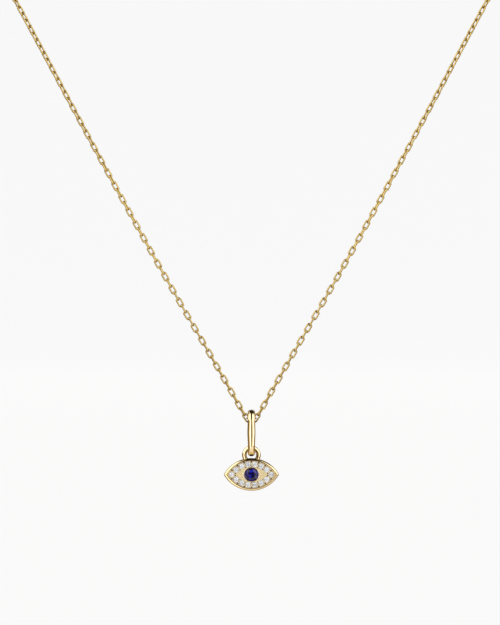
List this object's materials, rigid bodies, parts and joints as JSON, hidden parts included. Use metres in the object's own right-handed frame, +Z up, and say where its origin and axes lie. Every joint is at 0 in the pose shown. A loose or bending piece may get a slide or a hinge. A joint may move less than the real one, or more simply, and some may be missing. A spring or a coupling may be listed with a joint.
{
  "type": "evil eye pendant necklace",
  "caption": "Yellow gold necklace: a fine cable chain holds a long oval bail and an eye-shaped pendant with a polished rim, a ring of white stones and a round blue stone.",
  "frame": {"origin": "at the nape of the wearer's neck, on the front side of the clasp, where the necklace rests", "axes": "+Z up, -Y to the front where the pendant hangs, +X to the right as seen from the front; the necklace is its own mirror image across X = 0"},
  "size_m": [0.115, 0.0922, 0.1244],
  "materials": {
    "polished_gold": "polished yellow gold",
    "chain_gold": "bright pale yellow gold",
    "blue_stone": "faceted, deep blue",
    "white_stone": "faceted, colourless"
  },
  "bodies": {
    "necklace": {"chain_front": "chain_gold", "chain_back": "chain_gold", "clasp": "polished_gold"},
    "bail": {"bail": "polished_gold"},
    "eye": {"eye_frame": "polished_gold", "sapphire": "blue_stone", "pave_stone_01": "white_stone", "pave_stone_02": "white_stone", "pave_stone_03": "white_stone", "pave_stone_04": "white_stone", "pave_stone_05": "white_stone", "pave_stone_06": "white_stone", "pave_stone_07": "white_stone", "pave_stone_08": "white_stone", "pave_stone_09": "white_stone", "pave_stone_10": "white_stone", "pave_stone_11": "white_stone", "pave_stone_12": "white_stone", "pave_stone_13": "white_stone", "pave_stone_14": "white_stone"}
  },
  "joints": [
    {"name": "bail_swing", "type": "hinge", "parent": "necklace", "child": "bail", "pos_m": [0, -0.088, -0.11059], "axis": [1, 0, 0], "range_deg": [-90, 90]},
    {"name": "eye_swing", "type": "hinge", "parent": "bail", "child": "eye", "pos_m": [0, -0.088, -0.1168], "axis": [0, 1, 0], "range_deg": [-70, 70]}
  ]
}
